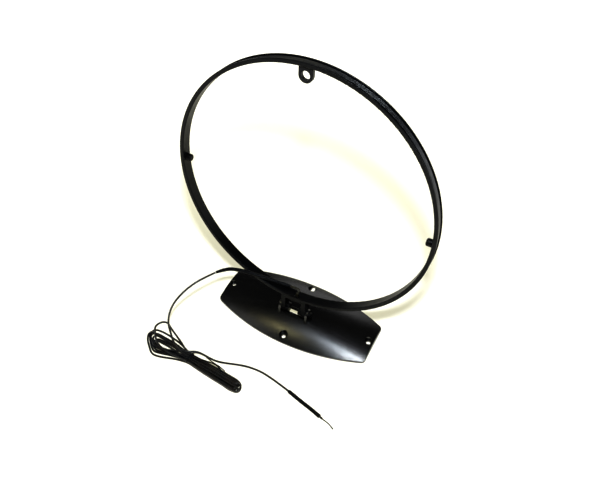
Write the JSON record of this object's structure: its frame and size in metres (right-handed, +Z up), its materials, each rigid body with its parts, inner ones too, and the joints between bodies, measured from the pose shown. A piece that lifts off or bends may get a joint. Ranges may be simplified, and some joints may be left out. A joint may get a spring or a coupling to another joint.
{
  "type": "loop antenna",
  "caption": "Indoor loop antenna: a round black hoop former with a wound coil, hinged on a domed base plate, with a thin lead tied in a hank.",
  "frame": {"origin": "on the floor plane, midway between the two end screw holes of the base plate", "axes": "+Z up, +X along the base plate and the hinge bolt to the right of the front, +Y to the back, away from the free lead"},
  "size_m": [0.2527, 0.1573, 0.2838],
  "materials": {
    "hoop_plastic": "satin black moulded plastic with a fine grain",
    "base_plastic": "satin black moulded plastic with a soft sheen",
    "peg_plastic": "satin black plastic",
    "coil_wire": "dark insulated wire",
    "sleeve_tube": "black shrunk tubing, satin",
    "collar_tube": "black shrunk tubing, satin",
    "lead_insulation": "soft black cable jacket",
    "tie_plastic": "dark plastic-coated wire tie",
    "hinge_steel": "blackened steel",
    "tinned_wire": "tinned copper strands"
  },
  "bodies": {
    "base": {"base_plate": "base_plastic", "hinge_bolt": "hinge_steel", "hinge_nut": "hinge_steel", "lead_in": "lead_insulation", "lead_loose_turn": "lead_insulation", "lead_hank": "lead_insulation", "twist_tie": "tie_plastic", "lead_out": "lead_insulation", "end_sleeve": "sleeve_tube", "end_collar": "collar_tube", "tinned_tip": "tinned_wire"},
    "hoop": {"hoop_former": "hoop_plastic", "coil_winding": "coil_wire", "coil_start_lead": "coil_wire", "coil_end_lead": "coil_wire", "peg_left": "peg_plastic", "peg_right": "peg_plastic", "lead_sleeve": "sleeve_tube"}
  },
  "joints": [
    {"name": "hoop_tilt", "type": "hinge", "parent": "base", "child": "hoop", "pos_m": [0, -0.0063, 0.018], "axis": [-1, 0, 0], "range_deg": [-10, 80], "deforming": ["lead_in"]}
  ]
}
